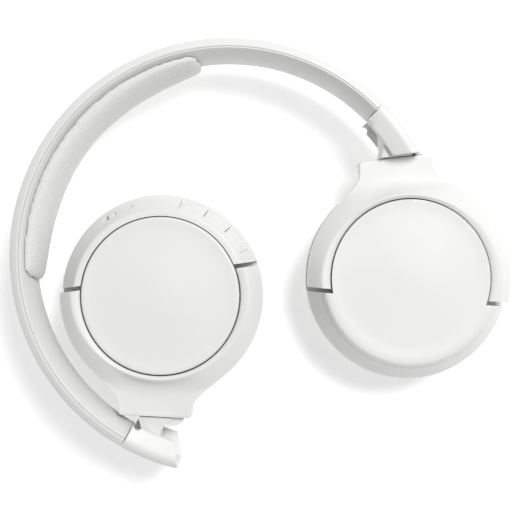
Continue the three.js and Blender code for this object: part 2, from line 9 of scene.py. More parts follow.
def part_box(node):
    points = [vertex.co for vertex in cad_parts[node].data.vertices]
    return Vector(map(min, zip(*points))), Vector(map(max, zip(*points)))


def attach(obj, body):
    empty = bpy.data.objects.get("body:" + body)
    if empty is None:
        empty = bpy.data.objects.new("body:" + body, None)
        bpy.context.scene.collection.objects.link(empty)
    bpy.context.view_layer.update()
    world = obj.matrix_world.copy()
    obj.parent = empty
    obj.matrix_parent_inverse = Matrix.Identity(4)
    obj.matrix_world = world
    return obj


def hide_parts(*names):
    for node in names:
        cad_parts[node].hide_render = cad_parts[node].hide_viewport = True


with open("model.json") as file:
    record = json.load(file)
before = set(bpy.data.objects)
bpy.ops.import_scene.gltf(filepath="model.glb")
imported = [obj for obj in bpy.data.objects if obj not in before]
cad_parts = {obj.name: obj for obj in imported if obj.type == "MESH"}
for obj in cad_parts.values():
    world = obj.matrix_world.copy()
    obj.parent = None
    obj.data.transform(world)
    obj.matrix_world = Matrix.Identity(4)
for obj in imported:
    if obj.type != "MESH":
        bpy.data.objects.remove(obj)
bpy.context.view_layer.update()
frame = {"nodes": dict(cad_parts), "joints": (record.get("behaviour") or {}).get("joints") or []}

# Foldable on-ear headphones: fine shells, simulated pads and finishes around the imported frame.
# Shapes are drawn in millimetres and turned to metres as each mesh is made.

MM = 0.001
joints = {joint["name"]: joint for joint in frame["joints"]}
nodes = frame["nodes"]


def low(node_name):
    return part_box(node_name)[0] / MM


def high(node_name):
    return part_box(node_name)[1] / MM


# ---------- sizes taken from the frame ----------

ARC_CENTRE = Vector(joints["left_slider_travel"]["pos_m"]) / MM
BAND_LOW = low("headband_outer_shell").z
BAND_TOP = high("headband_outer_shell").z
BAND_MID = (BAND_LOW + BAND_TOP) / 2
BAND_HALF = (BAND_TOP - BAND_LOW) / 2
ARC_OUTER = ARC_CENTRE.x - low("headband_outer_shell").x
LIP_TOP = high("left_yoke").z
FACE_TOP = high("left_cup_cover").z
YOKE_BASE = high("left_yoke_cover").z + 0.3
HOUSING_BASE = low("left_cup_housing").z
CUP_RADIUS = (high("left_cup_housing").x - low("left_cup_housing").x) / 2
PAD_TOP = high("left_ear_pad").z
PAD_OUTER = (high("left_ear_pad").x - low("left_ear_pad").x) / 2
SWIVEL_Z = joints["left_swivel"]["pos_m"][2] / MM

# ---------- driving sizes that the frame's boxes can't tell ----------

CROWN_ANGLE = 142.5  # direction of the crown about the arc's centre, in degrees
BAND_SPAN = 98.0  # half angle of both shells
EDGE_DEPTH = 3.3  # thickness of the outer shell at its edges
BAND_DEPTH = 7.5  # whole thickness of the band at its middle
CUSHION_SPAN = 45.0  # half angle of the head cushion
CUSHION_DEPTH = 6.2  # its thickness at the crown
CUSHION_HALF = 12.6  # half of its width
GAP = 0.3  # clearance between neighbouring pieces

HOUSING_START = 98.25  # the hinge housing's first angle from the crown
HOUSING_END = 113.2  # its last angle, at the outer corner
HOUSING_INNER = 70.6  # radius of its inner edges
BLOCK_END = 100.6  # where its solid block ends and its channel starts
CHANNEL_HALF = 9.0  # half height of the channel
FLANGE_TIP = 11.0  # half height at the inner edges
RIDGE = 77.2  # radius of the ridge along its sides
EDGE_DROP = 1.5  # how far the band's outer corners drop from its edges
CHANNEL_WALL = 78.9  # radius of the channel's back wall
NOTCH_ANGLE = 99.5  # a round thumb notch beside the block

PIN_ANGLE = 104.7  # the fold pin's angle from the crown
PIN_ARC = 75.4  # its distance from the arc's centre
PIN_TO_CUP = 55.0  # the pin to the cup's centre, along the neck
PIN_ASIDE = 1.3  # the pin's distance from the neck's axis
OPEN_TURN = 226.5  # direction of an open cup from its pin, from the crown
HOUSING_REACH = 9.3  # the housing's flat end, from the pin
KNUCKLE_BARREL = 3.1  # radius of the knuckle about the pin
KNUCKLE_REACH = 9.6  # the knuckle's end face, from the pin
POST_BORE = 2.6  # radius of the swivel post's bore
PIN_BORE = 1.8  # radius of the fold pin's bore
POST_TIP = PIN_TO_CUP - 6.7  # end of the post's bore in the knuckle
NECK_END = PIN_TO_CUP - 9.9  # the neck's end face, from the cup's centre
NECK_HALF = 13.6  # half of the neck's width

FACE_RADIUS = 29.1  # the round face
RING_INNER = 29.65  # bore of the yoke's half ring
YOKE_LIP = 33.2  # outer radius of its flat rim, near the tips
NECK_LIP = 31.4  # outer radius of its flat rim, at the neck
NECK_TOP = 31.6  # height of the neck's upper side
TILT_PIN_END = 33.2  # outer end of a tilt pin, along the tilt axis
FREE_LIP = 31.9  # outer radius of the free half's flat rim
FLANGE_TOP = 21.5  # top of the housing's flange under the yoke
COVER_LOW = 34.0  # underside of the face
STEP_TOP = 35.3  # floor of the groove round the control cup's face
CONE_BASE = 25.0  # where the free half's slope starts
TILT_SKEW = 11.0  # the tilt axis is turned this far from square to the neck
TILT_OFFSET = 2.3  # the tilt axis, past the cup's centre
TILT_Z = 31.5  # its height
TILT_BORE = 2.1  # radius of a tilt pin's bore
SLOT_NEAR = 6.1  # the slot's edge at the yoke's tip, past the cup's centre
SLOT_FAR = 7.7  # the slot's edge at the housing
FRAME_OUTER = 27.9  # bore of the housing, round the inner frame
WALL = 1.9  # thickness of the housing's wall
PAD_BORE = 13.6  # bore of the ear pad
SEAM_HEIGHT = 11.4  # height of the pad's seam
SEAM_DEPTH = 0.55  # how far the seam draws the skin in
STITCH_COUNT = 88
THREAD_RADIUS = 0.22  # the sewing thread

BUTTON_EDGES = (-58.8, -42.2, -25.6, -9.0)  # edges of the three keys, in degrees from the cup's free end
BUTTON_LOW = 27.6
BUTTON_HIGH = 33.2
SLIT = 0.25  # half of the gap between two keys, in degrees
END_SLIT = 0.04  # the gap at the outer ends of the keys, in degrees
DIMPLES = {"volume_down": -56.2, "volume_up": -11.4}  # small finger marks on the outer keys, in degrees
LIGHT_ANGLE = 21.2
SWITCH_FROM = 32.1
SWITCH_TO = 41.7
KNOB_WIDTH = 4.6
MIC_ANGLE = 52.0
PORT_ANGLE = 4.0

SIDES = {"left": 1, "right": -1}

# ---------- camera and light ----------

CAMERA_HEIGHT = 380.0  # above the band
VIEW_WIDTH = 186.2  # width of the view at the band's upper edge
VIEW_SHIFT = 10.2  # middle of the view from the arc's centre
SENSOR = 36.0


def place_camera():
    """Straight above the band, level with its arc's centre."""
    data = bpy.data.cameras.new("camera")
    camera = bpy.data.objects.new("camera", data)
    bpy.context.scene.collection.objects.link(camera)
    at = ARC_CENTRE + Vector((VIEW_SHIFT, 0, 0))
    camera.location = (at.x * MM, at.y * MM, (BAND_TOP + CAMERA_HEIGHT) * MM)
    data.sensor_width = SENSOR
    data.lens = SENSOR * CAMERA_HEIGHT / VIEW_WIDTH
    bpy.context.scene.camera = camera


def add_panel(name, place, size, power, target=(0.0, 0.0, 0.0)):
    data = bpy.data.lights.new(name, "AREA")
    data.shape = "DISK"
    data.size = size
    data.energy = power
    panel = bpy.data.objects.new(name, data)
    panel.location = place
    panel.rotation_euler = (Vector(target) - Vector(place)).to_track_quat("-Z", "Y").to_euler()
    bpy.context.scene.collection.objects.link(panel)


def light_studio():
    """Even white surroundings and one round soft panel above the crown's far side."""
    scene = bpy.context.scene
    scene.view_settings.view_transform = "Standard"
    world = bpy.data.worlds.new("studio")
    scene.world = world
    world.use_nodes = True
    background = world.node_tree.nodes["Background"]
    background.inputs["Color"].default_value = (1, 1, 1, 1)
    background.inputs["Strength"].default_value = 0.45
    add_panel("key_panel", (0.42, 0.46, 1.15), 0.5, 12.4)


place_camera()
light_studio()

# ---------- finishes ----------


def linear(hex_colour):
    """An sRGB hex colour as linear red, green, blue and alpha."""
    channels = [int(hex_colour[i:i + 2], 16) / 255 for i in (1, 3, 5)]
    return [c / 12.92 if c <= 0.04045 else ((c + 0.055) / 1.055) ** 2.4 for c in channels] + [1.0]


def add(tree, kind, inputs=None, **settings):
    """One node with its settings, its values and the links into it."""
    made = tree.nodes.new(kind)
    for name, value in settings.items():
        setattr(made, name, value)
    for name, value in (inputs or {}).items():
        if isinstance(value, bpy.types.NodeSocket):
            tree.links.new(value, made.inputs[name])
        else:
            made.inputs[name].default_value = value
    return made


def new_finish(name):
    """A material with its shader, and the object's own coordinates in metres."""
    finish = bpy.data.materials.new(name)
    finish.use_nodes = True
    tree = finish.node_tree
    place = add(tree, "ShaderNodeTexCoord").outputs["Object"]
    return finish, tree, tree.nodes["Principled BSDF"], place


def per_mm(size):
    """Texture scale that gives one cell every `size` millimetres."""
    return 1 / (size * MM)


def shade_between(tree, place, size, dark, light, detail=2.0):
    """A colour that drifts between two close shades in soft patches of a given size."""
    cloud = add(tree, "ShaderNodeTexNoise", {"Vector": place, "Scale": per_mm(size), "Detail": detail})
    mix = add(tree, "ShaderNodeMix", {
        "Factor": cloud.outputs["Fac"], 6: linear(dark), 7: linear(light),
    }, data_type="RGBA")
    return mix.outputs[2]


def roughness_between(tree, place, size, smooth, rough):
    """A roughness that drifts between two values in soft patches of a given size."""
    cloud = add(tree, "ShaderNodeTexNoise", {"Vector": place, "Scale": per_mm(size), "Detail": 3.0})
    spread = add(tree, "ShaderNodeMapRange", {
        "Value": cloud.outputs["Fac"], "From Min": 0.3, "From Max": 0.7,
        "To Min": smooth, "To Max": rough,
    })
    return spread.outputs["Result"]


def relief(tree, height, depth, strength=1.0):
    """A bump whose full height is `depth` millimetres."""
    bump = add(tree, "ShaderNodeBump", {"Height": height, "Distance": depth * MM, "Strength": strength})
    return bump.outputs["Normal"]


def polished_abs():
    """White ABS moulded against polished steel: an even shine with a very slight waviness."""
    finish, tree, shader, place = new_finish("polished_abs")
    wave = add(tree, "ShaderNodeTexNoise", {"Vector": place, "Scale": per_mm(3.5), "Detail": 2.0})
    tree.links.new(shade_between(tree, place, 30, "#DEDEDD", "#E4E4E3"), shader.inputs["Base Color"])
    tree.links.new(roughness_between(tree, place, 6, 0.42, 0.50), shader.inputs["Roughness"])
    tree.links.new(relief(tree, wave.outputs["Fac"], 0.02), shader.inputs["Normal"])
    shader.inputs["IOR"].default_value = 1.53
    return finish


def spark_textured_abs():
    """White ABS from a spark-eroded mould: a fine even grain that spreads the light."""
    finish, tree, shader, place = new_finish("spark_textured_abs")
    grain = add(tree, "ShaderNodeTexNoise", {"Vector": place, "Scale": per_mm(0.45), "Detail": 3.0})
    tree.links.new(shade_between(tree, place, 25, "#DCDCDB", "#E2E2E1"), shader.inputs["Base Color"])
    tree.links.new(roughness_between(tree, place, 4, 0.48, 0.56), shader.inputs["Roughness"])
    tree.links.new(relief(tree, grain.outputs["Fac"], 0.03), shader.inputs["Normal"])
    shader.inputs["IOR"].default_value = 1.53
    return finish


def embossed_leatherette():
    """White polyurethane leatherette: pebbled grain about 0.8 mm wide, painted darker in its creases as
    shade, with a soft dull shine.
    """
    finish, tree, shader, place = new_finish("embossed_leatherette")
    drift = add(tree, "ShaderNodeTexNoise", {"Vector": place, "Scale": per_mm(2.2), "Detail": 2.0})
    bent = add(tree, "ShaderNodeMix", {
        "Factor": 0.0006, 4: place, 5: drift.outputs["Color"],
    }, data_type="VECTOR")
    pebble = add(tree, "ShaderNodeTexVoronoi", {
        "Vector": bent.outputs[1], "Scale": per_mm(0.85),
    }, feature="DISTANCE_TO_EDGE")
    crease_relief_and_shade = add(tree, "ShaderNodeMapRange", {
        "Value": pebble.outputs["Distance"], "From Min": 0.0, "From Max": 0.22,
        "To Min": 0.0, "To Max": 1.0,
    })
    # The creases between the pebbles take the darker colour: painted shade in the grain's hollows.
    mix = add(tree, "ShaderNodeMix", {
        "Factor": crease_relief_and_shade.outputs["Result"], 6: linear("#D6D6D4"), 7: linear("#E3E3E1"),
    }, data_type="RGBA")
    tree.links.new(mix.outputs[2], shader.inputs["Base Color"])
    tree.links.new(roughness_between(tree, place, 5, 0.46, 0.56), shader.inputs["Roughness"])
    tree.links.new(relief(tree, crease_relief_and_shade.outputs["Result"], 0.05), shader.inputs["Normal"])
    shader.inputs["IOR"].default_value = 1.5
    return finish


def matte_moulding(name, dark, light, smooth=0.52, rough=0.62):
    """Unpainted plastic from a matt mould: low even shine and a fine grain."""
    finish, tree, shader, place = new_finish(name)
    grain = add(tree, "ShaderNodeTexNoise", {"Vector": place, "Scale": per_mm(0.5), "Detail": 3.0})
    tree.links.new(shade_between(tree, place, 10, dark, light), shader.inputs["Base Color"])
    tree.links.new(roughness_between(tree, place, 3, smooth, rough), shader.inputs["Roughness"])
    tree.links.new(relief(tree, grain.outputs["Fac"], 0.03), shader.inputs["Normal"])
    shader.inputs["IOR"].default_value = 1.5
    return finish


def rolled_metal(name, dark, light, smooth, rough):
    """Cold-rolled strip or plated metal: bright, with faint lines left by the rolls."""
    finish, tree, shader, place = new_finish(name)
    along = add(tree, "ShaderNodeMapping", {"Vector": place, "Scale": (1.0, 1.0, 14.0)})
    lines = add(tree, "ShaderNodeTexNoise", {
        "Vector": along.outputs["Vector"], "Scale": per_mm(1.5), "Detail": 4.0,
    })
    tree.links.new(shade_between(tree, place, 4, dark, light), shader.inputs["Base Color"])
    tree.links.new(roughness_between(tree, place, 2, smooth, rough), shader.inputs["Roughness"])
    tree.links.new(relief(tree, lines.outputs["Fac"], 0.008), shader.inputs["Normal"])
    shader.inputs["Metallic"].default_value = 1.0
    return finish


def acoustic_cloth():
    """Black polyester mesh over the driver: round threads 0.6 mm apart, crossing at right angles."""
    finish, tree, shader, place = new_finish("acoustic_cloth")
    threads = [
        add(tree, "ShaderNodeTexWave", {
            "Vector": place, "Scale": per_mm(0.6) / 20,
        }, bands_direction=axis)
        for axis in ("X", "Y")
    ]
    weave = add(tree, "ShaderNodeMath", {
        0: threads[0].outputs["Fac"], 1: threads[1].outputs["Fac"],
    }, operation="MAXIMUM")
    mix = add(tree, "ShaderNodeMix", {
        "Factor": weave.outputs["Value"], 6: linear("#0B0B0C"), 7: linear("#2C2C2E"),
    }, data_type="RGBA")
    tree.links.new(mix.outputs[2], shader.inputs["Base Color"])
    tree.links.new(relief(tree, weave.outputs["Value"], 0.12), shader.inputs["Normal"])
    shader.inputs["Roughness"].default_value = 0.85
    shader.inputs["Sheen Weight"].default_value = 0.25
    return finish


def frosted_acrylic():
    """Clear acrylic light guide with a frosted end, so it glows white from the housing."""
    finish, tree, shader, place = new_finish("frosted_acrylic")
    tree.links.new(shade_between(tree, place, 0.6, "#DDE6EC", "#EEF4F8"), shader.inputs["Base Color"])
    tree.links.new(roughness_between(tree, place, 0.5, 0.18, 0.30), shader.inputs["Roughness"])
    shader.inputs["IOR"].default_value = 1.49
    shader.inputs["Transmission Weight"].default_value = 0.3
    return finish


def sewing_thread():
    """White bonded polyester thread: a slight twist and a soft sheen."""
    finish, tree, shader, place = new_finish("sewing_thread")
    twist = add(tree, "ShaderNodeTexNoise", {"Vector": place, "Scale": per_mm(0.3), "Detail": 1.0})
    tree.links.new(shade_between(tree, place, 0.4, "#D9D9D6", "#F2F2F0"), shader.inputs["Base Color"])
    tree.links.new(relief(tree, twist.outputs["Fac"], 0.05), shader.inputs["Normal"])
    shader.inputs["Roughness"].default_value = 0.6
    shader.inputs["Sheen Weight"].default_value = 0.2
    return finish


FINISHES = {
    "polished_abs": polished_abs(),
    "spark_textured_abs": spark_textured_abs(),
    "leatherette": embossed_leatherette(),
    # Black moulding for the inner parts; on the inner frame it is also painted shade for the deep gap
    # round the cup's face.
    "black_abs_and_gap_shade": matte_moulding("black_abs_and_gap_shade", "#101011", "#1A1A1C"),
    "spring_steel": rolled_metal("spring_steel", "#A9ABAE", "#C2C4C7", 0.24, 0.36),
    "nickel_plate": rolled_metal("nickel_plate", "#8E8F92", "#A5A6A8", 0.18, 0.28),
    "speaker_film": matte_moulding("speaker_film", "#77787B", "#8D8E91", 0.28, 0.4),
    "solder_mask": matte_moulding("solder_mask", "#0E3B22", "#17512F", 0.3, 0.42),
    "battery_foil": rolled_metal("battery_foil", "#AEB1B5", "#C6C9CD", 0.3, 0.45),
    "wire_sleeve": matte_moulding("wire_sleeve", "#19191A", "#252526"),
    "acoustic_cloth": acoustic_cloth(),
    "frosted_acrylic": frosted_acrylic(),
    "sewing_thread": sewing_thread(),
}

NODE_FINISHES = {
    "spring_steel": ("slider_strip", "detent_spring", "fold_pin", "swivel_post", "swivel_clip",
                     "headband_spring", "usb_socket"),
    "nickel_plate": ("driver_magnet",),
    "speaker_film": ("diaphragm",),
    # Black ABS for the inner parts; on the inner frame the black also paints the deep gap round the
    # cup's face as dark shade.
    "black_abs_and_gap_shade": ("inner_frame", "baffle", "driver_grille", "driver_basket", "pad_plate", "microphone"),
    "solder_mask": ("main_board",),
    "battery_foil": ("battery",),
    "wire_sleeve": ("headband_cable",),
    "spark_textured_abs": ("yoke_cover", "power_switch_knob"),
    "frosted_acrylic": ("status_light",),
    "polished_abs": ("tilt_pin_a", "tilt_pin_b"),
}


def finish_frame_nodes():
    """Puts real finishes on the frame's own pieces that stay as they are."""
    for finish, endings in NODE_FINISHES.items():
        for name, node in nodes.items():
            if name.endswith(endings):
                node.data.materials.clear()
                node.data.materials.append(FINISHES[finish])


finish_frame_nodes()

# ---------- mesh helpers ----------


def make_mesh(name, points, faces, where):
    """A tidy closed mesh from points in millimetres, put in place by `where`."""
    mesh = bpy.data.meshes.new(name)
    mesh.from_pydata([where @ (Vector(point) * MM) for point in points], [], faces)
    shape = bmesh.new()
    shape.from_mesh(mesh)
    bmesh.ops.remove_doubles(shape, verts=shape.verts, dist=0.002 * MM)
    bmesh.ops.recalc_face_normals(shape, faces=shape.faces)
    shape.to_mesh(mesh)
    shape.free()
    piece = bpy.data.objects.new(name, mesh)
    bpy.context.scene.collection.objects.link(piece)
    return piece


def loft(name, rings, where, closed=False):
    """A skin over closed sections of equal length; the ends are capped unless it closes."""
    count = len(rings[0])
    faces = []
    for i in range(len(rings) if closed else len(rings) - 1):
        here, there = i * count, ((i + 1) % len(rings)) * count
        for k in range(count):
            following = (k + 1) % count
            faces.append((here + k, here + following, there + following, there + k))
    if not closed:
        last = (len(rings) - 1) * count
        faces.append(tuple(range(count)))
        faces.append(tuple(range(last, last + count)))
    return make_mesh(name, [point for ring in rings for point in ring], faces, where)


def rounded(corners, steps=4):
    """A closed outline whose [x, y, radius] corners are eased by short curves."""
    outline = []
    for i, (x, y, radius) in enumerate(corners):
        corner = Vector((x, y))
        if radius == 0:
            outline.append((x, y))
            continue
        before = Vector(corners[i - 1][:2]) - corner
        after = Vector(corners[(i + 1) % len(corners)][:2]) - corner
        start = corner + before.normalized() * min(radius, before.length / 2)
        end = corner + after.normalized() * min(radius, after.length / 2)
        for step in range(steps + 1):
            t = step / steps
            point = start * (1 - t) ** 2 + corner * 2 * t * (1 - t) + end * t ** 2
            outline.append((point.x, point.y))
    return outline


def turned(name, profile, where, segments=144):
    """A closed [radius, height] profile turned about the local Z axis."""
    rings = []
    for i in range(segments):
        angle = 2 * math.pi * i / segments
        rings.append([(r * math.cos(angle), r * math.sin(angle), z) for r, z in profile])
    return loft(name, rings, where, closed=True)


def prism(name, outline, bottom, top, where):
    rings = [[(x, y, z) for x, y in outline] for z in (bottom, top)]
    return loft(name, rings, where)


def rod(name, start, end, radius, where, segments=32):
    """A round bar between two local points."""
    start, end = Vector(start), Vector(end)
    turn = (end - start).to_track_quat("Z", "Y")
    rings = []
    for centre in (start, end):
        ring = []
        for i in range(segments):
            angle = 2 * math.pi * i / segments
            offset = turn @ Vector((radius * math.cos(angle), radius * math.sin(angle), 0))
            ring.append(tuple(centre + offset))
        rings.append(ring)
    return loft(name, rings, where)


def settle(piece):
    """Applies a piece's modifiers."""
    graph = bpy.context.evaluated_depsgraph_get()
    shaped = bpy.data.meshes.new_from_object(piece.evaluated_get(graph))
    before = piece.data
    piece.modifiers.clear()
    piece.data = shaped
    bpy.data.meshes.remove(before)


def combine(piece, other, operation):
    change = piece.modifiers.new("combine", "BOOLEAN")
    change.operation = operation
    change.solver = "EXACT"
    change.object = other
    settle(piece)
    bpy.data.objects.remove(other)
    return piece


def carve(piece, *cutters):
    for cutter in cutters:
        combine(piece, cutter, "DIFFERENCE")
    return piece


def smooth(piece, angle=38):
    for face in piece.data.polygons:
        face.use_smooth = True
    piece.data.set_sharp_from_angle(angle=math.radians(angle))


def ease_edges(piece, width, angle=34, segments=2):
    """Rounds a moulding's sharp edges by `width` millimetres."""
    edge = piece.modifiers.new("edges", "BEVEL")
    edge.width = width * MM
    edge.segments = segments
    edge.limit_method = "ANGLE"
    edge.angle_limit = math.radians(angle)
    edge.use_clamp_overlap = True
    settle(piece)
    smooth(piece)
    return piece


def finish_piece(piece, finish, slot, body, *replaced):
    piece.data.materials.clear()
    piece.data.materials.append(FINISHES[finish])
    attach(piece, body)
    if replaced:
        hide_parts(*replaced)
    return piece


# ---------- headband ----------

BAND_PLACE = Matrix.Translation((ARC_CENTRE.x * MM, ARC_CENTRE.y * MM, 0))


def on_band(angle, radius, height):
    """A point from its angle off the crown, its radius and its height off the middle plane."""
    direction = math.radians(CROWN_ANGLE + angle)
    return (radius * math.cos(direction), radius * math.sin(direction), BAND_MID + height)


def along_band(name, section, start, end, steps, shape=None):
    """A [radius, height] section swept along the band between two angles off the crown."""
    rings = []
    for i in range(steps + 1):
        share = i / steps
        angle = start + (end - start) * share
        ring = [shape(r, h, share) if shape else (r, h) for r, h in section]
        rings.append([on_band(angle, r, h) for r, h in ring])
    return loft(name, rings, BAND_PLACE)


def inner_radius(height):
    """Radius of the inner shell's face at a height off the band's middle plane."""
    edge = ARC_OUTER - EDGE_DEPTH - GAP - 0.5
    middle = ARC_OUTER - BAND_DEPTH
    return middle + (edge - middle) * (height / BAND_HALF) ** 2


def make_outer_shell():
    """The band's outer shell: a glossy wall with eased edges over the slider channel."""
    inside = ARC_OUTER - EDGE_DEPTH - 0.2
    section = rounded([
        (inside, -BAND_HALF, 0.25), (inside + 0.8, -BAND_HALF, 0.8),
        (ARC_OUTER, EDGE_DROP - BAND_HALF, 1.0), (ARC_OUTER, BAND_HALF - EDGE_DROP, 1.0),
        (inside + 0.8, BAND_HALF, 0.8), (inside, BAND_HALF, 0.25),
        (inside, 10.5, 0), (78.3, 10.5, 0), (78.3, -10.5, 0), (inside, -10.5, 0),
    ], 5)
    shell = along_band("band_outer_skin", section, -BAND_SPAN, BAND_SPAN, 150)
    ease_edges(shell, 0.15, 50)
    finish_piece(shell, "polished_abs", "white_gloss_abs", "band", "headband_outer_shell")


def make_inner_shell():
    """The band's inner shell, bulging towards the head between its two edges."""
    back = ARC_OUTER - EDGE_DEPTH - GAP
    heights = [BAND_HALF * (k / 10) for k in range(-10, 11)]
    bulge = [(inner_radius(height), height) for height in heights]
    rear = [(back, BAND_HALF - 0.1), (back, 7), (back - 1.6, 7), (back - 1.6, -7), (back, -7),
            (back, 0.1 - BAND_HALF)]
    shell = along_band("band_inner_skin", bulge + rear, -BAND_SPAN, BAND_SPAN, 150)
    ease_edges(shell, 0.12, 50)
    finish_piece(shell, "spark_textured_abs", "white_satin_abs", "band", "headband_inner_shell")


def simulate_stuffing(piece, voxel, cap, pressure=4.0):
    """Blows the closed skin up as cloth over its foam, and holds each point within `cap` mm."""
    remesh = piece.modifiers.new("remesh", "REMESH")
    remesh.mode = "VOXEL"
    remesh.voxel_size = voxel * MM
    settle(piece)
    relax(piece, 3)
    before = [vertex.co.copy() for vertex in piece.data.vertices]
    cloth = piece.modifiers.new("cloth", "CLOTH")
    settings = cloth.settings
    settings.use_pressure = True
    settings.uniform_pressure_force = pressure
    settings.effector_weights.gravity = 0
    settings.quality = 5
    settings.mass = 0.3
    settings.tension_stiffness = 15
    settings.compression_stiffness = 15
    settings.bending_stiffness = 0.5
    scene = bpy.context.scene
    for number in range(1, 21):
        scene.frame_set(number)
    settle(piece)
    scene.frame_set(1)
    for vertex, start in zip(piece.data.vertices, before):
        moved = vertex.co - start
        if moved.length > cap * MM:
            vertex.co = start + moved.normalized() * cap * MM


def relax(piece, rounds):
    """Evens out the small steps that a voxel skin has."""
    shape = bmesh.new()
    shape.from_mesh(piece.data)
    for _ in range(rounds):
        bmesh.ops.smooth_vert(
            shape, verts=shape.verts, factor=0.5, use_axis_x=True, use_axis_y=True, use_axis_z=True,
        )
    shape.to_mesh(piece.data)
    shape.free()


def refine(piece, levels=1):
    subdivide = piece.modifiers.new("refine", "SUBSURF")
    subdivide.levels = levels
    subdivide.render_levels = levels
    settle(piece)


def make_cushion():
    """The head cushion: a long crescent of padded leatherette with tapered ends."""
    shares = [math.sin(math.pi / 2 * k / 8) for k in range(-8, 9)]
    back = [(0.0, share) for share in shares]
    front = [(1 - 0.4 * abs(share) ** 4, share) for share in shares[1:-1]]

    def shape(depth, across, share):
        along = abs(2 * share - 1)
        tongue = math.sqrt(max(0.02, 1 - (max(0.0, along - 0.9) / 0.1) ** 2))
        height = across * (CUSHION_HALF - 0.1) * tongue
        thickness = 0.7 + (CUSHION_DEPTH - 1.3) * math.sqrt(max(0.0, 1 - along ** 3))
        return inner_radius(height) - GAP - depth * thickness, height

    cushion = along_band("head_cushion", back + front[::-1], -CUSHION_SPAN, CUSHION_SPAN, 70, shape)
    simulate_stuffing(cushion, 1.1, 0.8)
    refine(cushion)
    axis = Vector((ARC_CENTRE.x, ARC_CENTRE.y, 0)) * MM
    for vertex in cushion.data.vertices:
        outward = Vector((vertex.co.x - axis.x, vertex.co.y - axis.y, 0))
        height = vertex.co.z / MM - BAND_MID
        limit = (inner_radius(min(abs(height), BAND_HALF)) - 0.15) * MM
        if outward.length > limit:
            vertex.co -= outward.normalized() * (outward.length - limit)
    smooth(cushion, 60)
    finish_piece(cushion, "leatherette", "white_leatherette", "band", "headband_cushion")


# ---------- hinge housings ----------


def make_hinge_housing(side, hand):
    """The slider's end housing: a channel section, cut off flat where the knuckle folds out."""
    body = rounded([
        (HOUSING_INNER, -FLANGE_TIP, 0.8), (RIDGE, -BAND_HALF, 1.8),
        (ARC_OUTER, EDGE_DROP - BAND_HALF, 1.0), (ARC_OUTER, BAND_HALF - EDGE_DROP, 1.0),
        (RIDGE, BAND_HALF, 1.8), (HOUSING_INNER, FLANGE_TIP, 0.8),
    ], 6)
    start, beyond = -hand * HOUSING_START, -hand * (HOUSING_END + 4)
    housing = along_band(f"{side}_hinge_housing_skin", body, start, beyond, 24)
    channel = [
        (60, -CHANNEL_HALF), (CHANNEL_WALL, -CHANNEL_HALF),
        (CHANNEL_WALL, CHANNEL_HALF), (60, CHANNEL_HALF),
    ]
    relief_box = [(r if r < 70 else 73.4, h) for r, h in channel]
    slot = [(76.4, -8.9), (78.3, -8.9), (78.3, 8.9), (76.4, 8.9)]
    notch = Vector(on_band(-hand * NOTCH_ANGLE, HOUSING_INNER, 0))
    pin_x, pin_y, _ = on_band(-hand * PIN_ANGLE, PIN_ARC, 0)
    facing = Matrix.Rotation(math.radians(CROWN_ANGLE - hand * OPEN_TURN), 4, "Z")
    past = [
        (HOUSING_REACH, -40), (HOUSING_REACH + 40, -40),
        (HOUSING_REACH + 40, 40), (HOUSING_REACH, 40),
    ]
    end_place = BAND_PLACE @ Matrix.Translation((pin_x * MM, pin_y * MM, 0)) @ facing
    carve(
        housing,
        along_band("channel", channel, -hand * BLOCK_END, -hand * (HOUSING_END + 7), 20),
        along_band("relief", relief_box, -hand * (HOUSING_START - 2), -hand * (BLOCK_END + 1), 6),
        along_band("slot", slot, -hand * (HOUSING_START - 1), -hand * 100.05, 4),
        rod("notch", (notch.x, notch.y, 0), (notch.x, notch.y, 60), 1.5, BAND_PLACE),
        prism("past_end", past, 0, 60, end_place),
    )
    ease_edges(housing, 0.35)
    finish_piece(housing, "polished_abs", "white_gloss_abs", f"{side}_slide", f"{side}_hinge_housing")


# ---------- knuckle and yoke, drawn about the cup's centre with X towards the neck ----------


def cup_place(side):
    """The place of the cup's centre, turned so that X points to the neck."""
    centre = (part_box(f"{side}_ear_pad")[0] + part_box(f"{side}_ear_pad")[1]) / 2
    pin = Vector(joints[f"{side}_fold"]["pos_m"])
    aside = SIDES[side] * math.atan2(PIN_ASIDE, PIN_TO_CUP)
    turn = math.atan2(pin.y - centre.y, pin.x - centre.x) - aside
    return Matrix.Translation((centre.x, centre.y, 0)) @ Matrix.Rotation(turn, 4, "Z")


def make_knuckle(side, hand):
    """The knuckle that folds on the pin, with a lobe at the end that faces the neck."""
    place = cup_place(side)

    def plan(reach, out):
        return (PIN_TO_CUP - reach, -hand * out)

    arm = [plan(5.4, 2.7), plan(7.4, 4.1), plan(KNUCKLE_REACH, 6.3), plan(KNUCKLE_REACH, -5.8),
           plan(7.4, -4.9), plan(5.4, -PIN_ASIDE - KNUCKLE_BARREL)]
    barrel = []
    for k in range(17):
        angle = math.radians(-80 + 10 * k)
        reach = -KNUCKLE_BARREL * math.cos(angle)
        barrel.append(plan(reach, KNUCKLE_BARREL * math.sin(angle) - PIN_ASIDE))
    lobe = [
        plan(6.1, 4.6), plan(KNUCKLE_REACH, 4.6), plan(KNUCKLE_REACH, 10.9),
        plan(8.0, 10.2), plan(6.6, 8.2),
    ]
    knuckle = prism(f"{side}_knuckle_skin", barrel + arm, BAND_MID - 8.7, BAND_MID + 8.7, place)
    combine(knuckle, prism("lobe", lobe, BAND_MID - 8, BAND_MID + 3, place), "UNION")
    end = PIN_TO_CUP - KNUCKLE_REACH - 1
    pin_side = hand * PIN_ASIDE
    carve(
        knuckle,
        rod("bore", (end, 0, SWIVEL_Z), (POST_TIP, 0, SWIVEL_Z), POST_BORE, place),
        rod("pin_bore", (PIN_TO_CUP, pin_side, 0), (PIN_TO_CUP, pin_side, 60), PIN_BORE, place),
    )
    ease_edges(knuckle, 0.45)
    finish_piece(knuckle, "polished_abs", "white_gloss_abs", f"{side}_hinge", f"{side}_knuckle")


